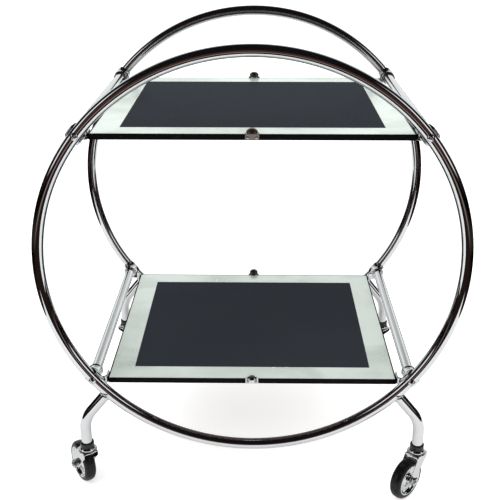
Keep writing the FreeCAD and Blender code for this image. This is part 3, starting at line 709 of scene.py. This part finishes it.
def make_brackets():
    """The curled brackets at the shelves' corners, and their rivets."""
    meshes = []
    places = []
    flips = [Matrix.Diagonal((sx, sy, 1, 1)) for sx in (1, -1) for sy in (1, -1)]
    for level in LEVELS:
        one = bracket_mesh(level)
        meshes += [one] * 4
        places += flips
    whole = joined("curled_brackets", meshes, places)
    piece("curled_brackets", whole, FITTING_CHROME, CART, "chrome_fitting", "shelf_brackets", crisp=False)
    head = turned_mesh("rivet", [(0, 0), (3.6, 0), (3.6, 0.4), (2.6, 1.5), (1.2, 2.1), (0, 2.2)], 0.6, 32)
    spots = []
    for level in LEVELS:
        low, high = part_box(level + "_shelf_frame")
        for side in (-1, 1):
            for end in (-1, 1):
                spot = Vector((side * (high.x + BRACKET_WALL * MM), end * (high.y - RIVET_INSET * MM),
                               (low.z + high.z) / 2))
                turn = Matrix.Rotation(side * math.pi / 2, 4, "Y")
                spots.append(Matrix.Translation(spot) @ turn)
    rivets = joined("rivet_heads", [head] * len(spots), spots)
    piece("rivet_heads", rivets, BRIGHT, CART, "bright_steel", "bracket_rivets")


# Glass clips

def clip_distance(x, y, z):
    """A bent clip: y is zero on the frame's face and grows over the glass, z is zero on the glass."""
    leg = block_distance((x, y, z), (-CLIP_HALF, -CLIP_WALL, -9.5), (CLIP_HALF, 0, 2.5), 0.4)
    plate = np.hypot(x, y + 2) - CLIP_TAB
    plate = np.minimum(plate, block_distance((x, y, z * 0), (-CLIP_TAB, -CLIP_TAB, -1), (CLIP_TAB, -2, 1), 0.0))
    plate = keep_in(plate, np.abs(z - 1.75) - CLIP_WALL / 2, 0.4)
    plate = keep_in(plate, -CLIP_TAB - y, 0.8)
    return blend_in(leg, plate, 1.2)


def screw_distance(x, y, z):
    """A small domed screw head with a fine slot, standing on y of zero and facing -y."""
    dome = np.sqrt(x ** 2 + (y - 3.0) ** 2 + z ** 2) - 4.3
    head = keep_in(dome, y, 0.15)
    slot = np.maximum(np.abs(z) - 0.35, y + 1.0)
    return cut_out(head, slot, 0.15)


def make_clips():
    """The clips at the middle of the shelves' front and back edges, with knobs and screws."""
    clip = carved_mesh("clip", clip_distance, (-12, -10, -10), (12, 8, 3.5), 0.4)
    screw = carved_mesh("screw", screw_distance, (-4, -2, -4), (4, 0.5, 4), 0.2)
    knob = turned_mesh("knob", [(0, 0), (7.5, 0), (9, 1.5), (9, 2.6), (8.3, 4.4), (6.6, 6.2), (4.2, 7.5),
                                (1.8, 7.95), (0, 8)], 1.2, 64)
    clips = []
    screws = []
    knobs = []
    for level in reversed(LEVELS):
        low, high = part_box(level + "_shelf_frame")
        for turn in (0, math.pi):
            spin = Matrix.Rotation(turn, 4, "Z")
            clips.append(spin @ Matrix.Translation((0, -high.y, high.z)))
            knobs.append(spin @ Matrix.Translation((0, -high.y - KNOB_OUT * MM, high.z + KNOB_LIFT * MM)))
            for side in (-1, 1):
                spot = (side * SCREW_OUT * MM, -high.y - CLIP_WALL * MM, (low.z + high.z) / 2)
                screws.append(spin @ Matrix.Translation(spot))
    piece("bent_clips", joined("bent_clips", [clip] * 4, clips), FITTING_CHROME, CART, "chrome_fitting",
          "glass_clips", crisp=False)
    # The four knobs are one part but get two looks by spot: the lower front knob's pale chrome is a painted
    # reflection, and the other three share the dark brown tone of knob_chrome.
    knob_looks_with_painted_reflection = {"lower_front": FITTING_CHROME, "lower_rear": KNOB_CHROME, "upper_front": KNOB_CHROME,
             "upper_rear": KNOB_CHROME}
    for (spot, look), place in zip(knob_looks_with_painted_reflection.items(), knobs):
        name = spot + "_domed_knob"
        piece(name, joined(name, [knob], [place]), look, CART, "knob_chrome", "clip_knobs", crisp=False)
    piece("screw_heads", joined("screw_heads", [screw] * 8, screws), BRIGHT, CART, "bright_steel",
          "clip_screws", crisp=False)


# Casters: built with the swivel axis on Z, the wheel trailing along +X and the axle along Y

def caster_sizes():
    """The sizes of a caster, in millimetres, from the front left one."""
    tyre_low, tyre_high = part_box("front_left_tyre")
    socket_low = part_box("front_left_leg_socket")[0]
    axle = middle("front_left_tyre")
    pivot = middle("front_left_leg_socket")
    return {"wheel": (tyre_high.z - tyre_low.z) / 2 / MM, "trail": (axle - pivot).to_2d().length / MM,
            "socket_bottom": socket_low.z / MM}


CASTER = caster_sizes()
WHEEL = CASTER["wheel"]
TRAIL = CASTER["trail"]
HALF_FORK = 13.0
FORK_WALL = 2.0
FORK_END = 8.5
CROWN_LOW = 2 * WHEEL + 3.0
CROWN_HIGH = CROWN_LOW + 2.5
CROWN_RADIUS = 16.5
RACE_RADIUS = 9.5
STEM_HOLE = 5.1
AXLE_RADIUS = 4.0
TYRE_HALF = 10.75
TYRE_DEPTH = 9.5
HEX_HALF = 6.5
HEX_HEIGHT = 5.5


def on_axle(mesh):
    """Lays a wheel piece that was turned about Z onto the axle."""
    mesh.transform(Matrix.Translation((TRAIL * MM, 0, WHEEL * MM)) @ Matrix.Rotation(-math.pi / 2, 4, "X"))
    return mesh


def tyre_mesh():
    """The tyre: a rounded tread with two shallow grooves, and a moulded ring on each side wall."""
    half = TYRE_HALF
    inner = WHEEL - TYRE_DEPTH + 0.1
    side = [(inner, 9.0), (inner + 1.2, half - 0.2), (inner + 2.2, half), (inner + 3.0, half - 0.5),
            (WHEEL - 5.2, half - 0.7), (WHEEL - 3.0, half - 1.9), (WHEEL - 1.2, half - 3.9),
            (WHEEL - 0.3, half - 6.2), (WHEEL - 0.15, half - 6.9), (WHEEL - 0.6, half - 7.2),
            (WHEEL - 0.6, half - 7.6), (WHEEL, half - 8.0), (WHEEL, 0.6)]
    outline = side + [(r, -z) for r, z in side[::-1]]
    return on_axle(turned_mesh("tyre", outline, 0.8, 96, closed=True))


def hub_mesh():
    """The plated disc: a rolled rim, a deep dish, a ring bead and a raised boss."""
    rim = WHEEL - TYRE_DEPTH
    side = [(6.1, 12.0), (8.6, 12.0), (9.4, 11.0), (10.2, 7.2), (13.0, 5.2), (16.0, 4.6), (18.0, 5.2),
            (19.4, 5.2), (21.4, 4.6), (24.4, 6.6), (26.0, 9.6), (27.2, 10.6),
            (rim + 0.9, 10.3), (rim + 0.9, 8.8)]
    outline = side + [(r, -z) for r, z in side[::-1]]
    return on_axle(turned_mesh("hub", outline, 1.6, 96, closed=True))


def fork_distance(x, y, z):
    """The pressed fork: a bent channel trimmed to a blade, under a round crown with a rolled edge."""
    outside = HALF_FORK + FORK_WALL
    arch = block_distance((x * 0, y, z), (-1, -outside, 0), (1, outside, CROWN_HIGH), 4.0)
    hollow = block_distance((x * 0, y, z), (-1, -HALF_FORK, -9), (1, HALF_FORK, CROWN_LOW), 2.2)
    channel = cut_out(arch, hollow, 0.4)
    blade = polygon_distance(x, z, blade_outline())
    body = keep_in(channel, blade, 1.0)
    across = np.hypot(x, y)
    plate = keep_in(across - CROWN_RADIUS, np.abs(z - (CROWN_LOW + CROWN_HIGH) / 2) - 1.25, 1.2)
    body = blend_in(body, plate, 1.5)
    seat = np.hypot(across - RACE_RADIUS, z - CROWN_HIGH - 0.25) - 1.85
    body = cut_out(body, seat, 0.2)
    boss = rod_distance(np.hypot(x - TRAIL, z - WHEEL), np.abs(y), 7.4, outside - 0.5, outside + 0.6)
    body = blend_in(body, boss, 0.8)
    holes = np.minimum(across - STEM_HOLE, np.hypot(x - TRAIL, z - WHEEL) - AXLE_RADIUS - 0.1)
    return cut_out(body, holes, 0.4)


def blade_outline():
    """The fork's side view: wide at the crown, tapering to a round end at the axle."""
    end = FORK_END
    corners = [(14.5, CROWN_HIGH + 2), (-14.5, CROWN_HIGH + 2), (-14.5, CROWN_LOW - 7.5)]
    first = math.atan2(CROWN_LOW - 7.5 - WHEEL, -14.5 - TRAIL)
    reach = math.hypot(CROWN_LOW - 7.5 - WHEEL, -14.5 - TRAIL)
    first += math.acos(end / reach)
    last_x, last_z = CROWN_RADIUS, CROWN_LOW - 5.0
    last = math.atan2(last_z - WHEEL, last_x - TRAIL)
    last -= math.acos(end / math.hypot(last_x - TRAIL, last_z - WHEEL))
    last += 2 * math.pi
    for step in range(25):
        angle = first + (last - first) * step / 24
        corners.append((TRAIL + end * math.cos(angle), WHEEL + end * math.sin(angle)))
    corners.append((last_x, last_z))
    return corners


def hexagon_distance(x, y, z):
    """A chamfered hexagon that stands on z of zero."""
    turns = (math.pi / 6, math.pi / 2, 5 * math.pi / 6)
    flats = [np.abs(x * math.cos(turn) + y * math.sin(turn)) - HEX_HALF for turn in turns]
    prism = np.maximum.reduce(flats)
    cone = (np.hypot(x, y) + (z - HEX_HEIGHT) * 1.7 - HEX_HALF + 0.1) / 1.97
    solid = keep_in(prism, np.abs(z - HEX_HEIGHT / 2) - HEX_HEIGHT / 2, 0.3)
    return keep_in(solid, cone, 0.3)


def axle_mesh():
    """The axle bolt: its hexagon head, its shank and the thread that stands out of the nut."""
    head = carved_mesh("head", hexagon_distance, (-8, -8, 0), (8, 8, HEX_HEIGHT), 0.3)
    side = HALF_FORK + FORK_WALL
    outline = [(0, -side - 0.5), (AXLE_RADIUS, -side - 0.5), (AXLE_RADIUS, side)]
    ridges = 5
    for number in range(ridges):
        start = side + (number + 0.2) * 1.4
        outline += [(AXLE_RADIUS, start), (3.4, start + 0.7)]
    outline += [(3.9, side + 7.0), (3.2, side + 7.2), (0, side + 7.2)]
    shank = turned_mesh("shank", outline, 0.15, 40)
    flip = Matrix.Translation((0, 0, -side * MM)) @ Matrix.Rotation(math.pi, 4, "X")
    return on_axle(joined("axle", [head, shank], [flip, Matrix.Identity(4)]))


def nut_mesh():
    """The hexagon nut with its washer face."""
    def distance(x, y, z):
        return cut_out(hexagon_distance(x, y, z), np.hypot(x, y) - AXLE_RADIUS - 0.05, 0.4)

    nut = carved_mesh("nut", distance, (-8, -8, 0), (8, 8, HEX_HEIGHT), 0.3)
    side = HALF_FORK + FORK_WALL
    return on_axle(joined("nut", [nut], [Matrix.Translation((0, 0, side * MM))]))


def socket_mesh():
    """The moulded socket round the foot of a leg, with a soft lip."""
    bottom = CASTER["socket_bottom"]
    foot = bottom + 2.0
    outline = [(STEM_HOLE, bottom), (11.2, bottom), (12.0, bottom + 1.0), (12.0, foot + 5.5), (12.0, foot + 8.0),
               (9.6, foot + 8.0), (9.6, foot), (7.9, foot), (7.9, foot + 32), (STEM_HOLE, foot + 32)]
    return turned_mesh("socket", outline, 0.8, 64, closed=True)


def cup_mesh():
    """The pressed cup of the swivel bearing, with a rolled lower edge."""
    low = CROWN_HIGH + 0.5
    outline = [(STEM_HOLE, low), (7.6, low), (8.2, low + 1.4), (10.8, low + 1.4), (11.6, low), (14.0, low),
               (14.0, low + 2.4), (12.6, low + 5.0), (STEM_HOLE, low + 5.0)]
    return turned_mesh("cup", outline, 1.0, 64, closed=True)


def caster_place(corner):
    """The matrix that sets a caster under its leg, turned to its heading."""
    pivot = middle(corner + "_leg_socket")
    axle = middle(corner + "_tyre")
    heading = math.atan2(axle.y - pivot.y, axle.x - pivot.x)
    return Matrix.Translation((pivot.x, pivot.y, 0)) @ Matrix.Rotation(heading, 4, "Z")


def make_casters():
    """Four casters: the still pieces on the cart, the fork on its swivel and the wheel on its axle."""
    fork = carved_mesh("fork", fork_distance, (-18, -17, WHEEL - 10), (TRAIL + 10, 17, CROWN_HIGH + 1), FORK_STEP)
    shapes = {"tyre": tyre_mesh(), "hub": hub_mesh(), "axle_bolt": axle_mesh(), "axle_nut": nut_mesh(),
              "leg_socket": socket_mesh(), "fork": fork}
    kinds = [("leg_socket", SOCKET, "", "black_plastic"), ("fork", CASTER_CHROME, "_swivel", "caster_chrome"),
             ("axle_bolt", ZINC, "_swivel", "zinc_steel"), ("axle_nut", ZINC, "_swivel", "zinc_steel"),
             ("hub", HUB_CHROME, "_wheel", "hub_steel"), ("tyre", TYRE, "_wheel", "tyre_rubber")]
    for corner in CORNERS:
        place = caster_place(corner)
        for kind, material, suffix, slot in kinds:
            name = corner + "_" + kind + "_finish"
            body = corner + suffix if suffix else CART
            smooth = kind in ("hub", "tyre", "fork")
            piece(name, joined(name, [shapes[kind]], [place]), material, body, slot, corner + "_" + kind,
                  crisp=not smooth)
    cups = joined("bearing_cups", [cup_mesh()] * 4, [caster_place(corner) for corner in CORNERS])
    piece("bearing_cups", cups, CASTER_CHROME, CART, "caster_chrome", "swivel_cups")


# CAD nodes that keep their own mesh

def dress(node, material):
    """Gives a CAD node a material and smooth shading with crisp edges."""
    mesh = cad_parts[node].data
    mesh.materials.clear()
    mesh.materials.append(material)
    mesh.polygons.foreach_set("use_smooth", [True] * len(mesh.polygons))
    mesh.set_sharp_from_angle(angle=math.radians(35))


def dress_inner_pieces():
    """The plugs, stems, balls, pads and bushes."""
    dress("threaded_plugs", BRIGHT)
    dress("caster_stems", ZINC)
    dress("swivel_balls", BRIGHT)
    dress("clip_pads", PAD)
    for corner in CORNERS:
        dress(corner + "_bush", NYLON)


# Studio

def glow(name, colour):
    """A material that only gives light, for what the chrome mirrors."""
    material = bpy.data.materials.new(name)
    material.use_nodes = True
    nodes = material.node_tree.nodes
    nodes.clear()
    light = nodes.new("ShaderNodeEmission")
    output = nodes.new("ShaderNodeOutputMaterial")
    light.inputs["Color"].default_value = colour
    material.node_tree.links.new(light.outputs["Emission"], output.inputs["Surface"])
    return material, light


def plane(name, low, high, z, material):
    """A level sheet of the studio."""
    mesh = mesh_of(name, [(low[0], low[1], z), (high[0], low[1], z), (high[0], high[1], z), (low[0], high[1], z)],
                   [(0, 1, 2, 3)], smooth=False)
    mesh.materials.append(material)
    sheet = bpy.data.objects.new(name, mesh)
    bpy.context.scene.collection.objects.link(sheet)
    return sheet


def make_floor():
    """A pale floor, and the sheet and the darker room floor that only mirrors see."""
    pale = Surface("pale_floor", (0.955, 0.955, 0.95), 0.9, specular=0.0)
    grain = pale.pattern(3, detail=5)
    pale.colours(pale.ranged(grain, 0.3, 0.7, 0, 1), (0.955, 0.955, 0.952), (0.945, 0.945, 0.943))
    pale.shader.inputs["Emission Color"].default_value = (1, 1, 1, 1)
    pale.shader.inputs["Emission Strength"].default_value = 0.45
    floor = plane("floor", (-14, -14), (14, 14), 0.0, pale.material)
    floor.visible_glossy = False
    paper = Surface("paper", (0.8, 0.805, 0.8), 0.9, specular=0.0)
    sheet = plane("paper_sheet", (-0.8, -0.85), (0.8, 3.0), 0.0003, paper.material)
    room, light = glow("room_floor", (0, 0, 0, 1))
    nodes = room.node_tree.nodes
    links = room.node_tree.links
    place = nodes.new("ShaderNodeNewGeometry").outputs["Position"]
    length = nodes.new("ShaderNodeVectorMath")
    length.operation = "LENGTH"
    links.new(place, length.inputs[0])
    ramp = nodes.new("ShaderNodeValToRGB")
    scale = nodes.new("ShaderNodeMath")
    scale.operation = "DIVIDE"
    scale.inputs[1].default_value = 6.0
    links.new(length.outputs["Value"], scale.inputs[0])
    links.new(scale.outputs["Value"], ramp.inputs["Fac"])
    bands = [(0.0, (0.012, 0.01, 0.01)), (0.27, (0.02, 0.011, 0.009)), (0.33, (0.3, 0.25, 0.23)),
             (0.46, (0.22, 0.17, 0.155)), (0.56, (0.07, 0.03, 0.022)), (1.0, (0.018, 0.007, 0.005))]
    ramp.color_ramp.elements[0].position = bands[0][0]
    ramp.color_ramp.elements[0].color = (*bands[0][1], 1)
    ramp.color_ramp.elements[1].position = bands[-1][0]
    ramp.color_ramp.elements[1].color = (*bands[-1][1], 1)
    for position, colour in bands[1:-1]:
        ramp.color_ramp.elements.new(position).color = (*colour, 1)
    links.new(ramp.outputs["Color"], light.inputs["Color"])
    split = nodes.new("ShaderNodeSeparateXYZ")
    links.new(place, split.inputs["Vector"])
    aside = nodes.new("ShaderNodeMath")
    aside.operation = "ABSOLUTE"
    links.new(split.outputs["X"], aside.inputs[0])
    fade = nodes.new("ShaderNodeMapRange")
    links.new(aside.outputs["Value"], fade.inputs["Value"])
    for part, number in (("From Min", 0.9), ("From Max", 1.5), ("To Min", 1.0), ("To Max", 0.08)):
        fade.inputs[part].default_value = number
    links.new(fade.outputs["Result"], light.inputs["Strength"])
    dark = plane("room_floor", (-12, -12), (12, 12), -0.002, room)
    for sheet_of in (sheet, dark):
        sheet_of.visible_camera = False
        sheet_of.visible_diffuse = False
        sheet_of.visible_shadow = False
        sheet_of.visible_transmission = False


def make_world():
    """Soft even light, a pale background for the camera, and a dark studio for what mirrors."""
    world = bpy.data.worlds.new("studio")
    bpy.context.scene.world = world
    world.use_nodes = True
    nodes = world.node_tree.nodes
    links = world.node_tree.links
    nodes.clear()

    def calc(operation, *values):
        node = nodes.new("ShaderNodeMath")
        node.operation = operation
        for number, value in enumerate(values):
            if isinstance(value, (int, float)):
                node.inputs[number].default_value = value
            else:
                links.new(value, node.inputs[number])
        return node.outputs["Value"]

    def ease(value, low, high):
        node = nodes.new("ShaderNodeMapRange")
        node.interpolation_type = "SMOOTHSTEP"
        node.inputs["From Min"].default_value = low
        node.inputs["From Max"].default_value = high
        links.new(value, node.inputs["Value"])
        return node.outputs["Result"]

    def shone(colour, strength):
        node = nodes.new("ShaderNodeBackground")
        node.inputs["Color"].default_value = (*colour, 1)
        if isinstance(strength, (int, float)):
            node.inputs["Strength"].default_value = strength
        else:
            links.new(strength, node.inputs["Strength"])
        return node.outputs["Background"]

    def both(a, b):
        node = nodes.new("ShaderNodeAddShader")
        links.new(a, node.inputs[0])
        links.new(b, node.inputs[1])
        return node.outputs["Shader"]

    def chosen(share, a, b):
        node = nodes.new("ShaderNodeMixShader")
        links.new(share, node.inputs["Fac"])
        links.new(a, node.inputs[1])
        links.new(b, node.inputs[2])
        return node.outputs["Shader"]

    way = nodes.new("ShaderNodeTexCoord").outputs["Generated"]
    split = nodes.new("ShaderNodeSeparateXYZ")
    links.new(way, split.inputs["Vector"])
    x, y, z = (split.outputs[name] for name in "XYZ")
    level = calc("SQRT", calc("ADD", calc("MULTIPLY", x, x), calc("MULTIPLY", y, y)))
    facing = calc("DIVIDE", y, calc("MAXIMUM", level, 0.001))
    sideways = calc("DIVIDE", calc("ABSOLUTE", x), calc("MAXIMUM", level, 0.001))
    cloth = nodes.new("ShaderNodeTexNoise")
    cloth.inputs["Scale"].default_value = 7.0
    cloth.inputs["Detail"].default_value = 2.0
    links.new(way, cloth.inputs["Vector"])
    folds = calc("ADD", calc("MULTIPLY", cloth.outputs["Fac"], 0.5), 0.75)
    fall = calc("SUBTRACT", 1.0, calc("MULTIPLY", ease(z, 0.26, 0.62), 0.55))
    top = calc("SUBTRACT", 1.0, ease(z, 0.62, 0.8))
    behind = calc("MULTIPLY", ease(facing, 0.5, 0.7), calc("MULTIPLY", fall, top))
    behind = calc("MULTIPLY", behind, folds)
    before = ease(calc("MULTIPLY", facing, -1.0), 0.2, 0.9)
    warm = calc("MULTIPLY", before, calc("SUBTRACT", 1.0, ease(z, 0.0, 0.3)))
    box = calc("MULTIPLY", ease(sideways, 0.78, 0.84), calc("SUBTRACT", 1.0, ease(sideways, 0.93, 0.97)))
    box = calc("MULTIPLY", box, ease(calc("MULTIPLY", facing, -1.0), 0.1, 0.2))
    box = calc("MULTIPLY", box, calc("MULTIPLY", ease(z, 0.02, 0.08), calc("SUBTRACT", 1.0, ease(z, 0.5, 0.66))))
    mirrored = both(shone((0.9, 0.93, 0.91), behind), shone((0.09, 0.035, 0.025), warm))
    mirrored = both(mirrored, shone((1.0, 1.0, 1.0), box))
    mirrored = both(mirrored, shone((0.006, 0.006, 0.007), 1.0))
    rays = nodes.new("ShaderNodeLightPath")
    even = shone((1.0, 1.0, 1.0), 1.06)
    seen = shone((1.0, 1.0, 1.0), 1.0)
    lit = chosen(rays.outputs["Is Glossy Ray"], even, mirrored)
    output = nodes.new("ShaderNodeOutputWorld")
    links.new(chosen(rays.outputs["Is Camera Ray"], lit, seen), output.inputs["Surface"])


def make_lights():
    """Two large soft lamps overhead that shade the matt pieces and stay out of the mirrors."""
    for name, place, size, power in (("key", (-1.6, -1.4, 2.6), 1.6, 26.0), ("fill", (1.8, 0.9, 2.4), 1.8, 14.0)):
        data = bpy.data.lights.new(name, "AREA")
        data.energy = power
        data.size = size
        lamp = bpy.data.objects.new(name, data)
        lamp.location = place
        lamp.rotation_euler = (Vector((0, 0, 0.4)) - Vector(place)).to_track_quat("-Z", "Y").to_euler()
        lamp.visible_glossy = False
        bpy.context.scene.collection.objects.link(lamp)


def make_camera():
    """The camera, a little right of the middle and above the cart, looking down at it."""
    data = bpy.data.cameras.new("camera")
    data.lens = 58.105
    data.sensor_width = 36.0
    camera = bpy.data.objects.new("camera", data)
    camera.location = (0.01088, -1.39053, 0.9714)
    camera.rotation_euler = (math.radians(66.49), 0, 0.0119)
    bpy.context.scene.collection.objects.link(camera)
    bpy.context.scene.camera = camera


make_hoops()
make_cross_tubes()
make_saddles()
make_bolts()
make_legs()
for shelf in LEVELS:
    make_shelf(shelf)
make_brackets()
make_clips()
make_casters()
dress_inner_pieces()
make_floor()
make_world()
make_lights()
make_camera()
bpy.context.scene.view_settings.view_transform = "Standard"
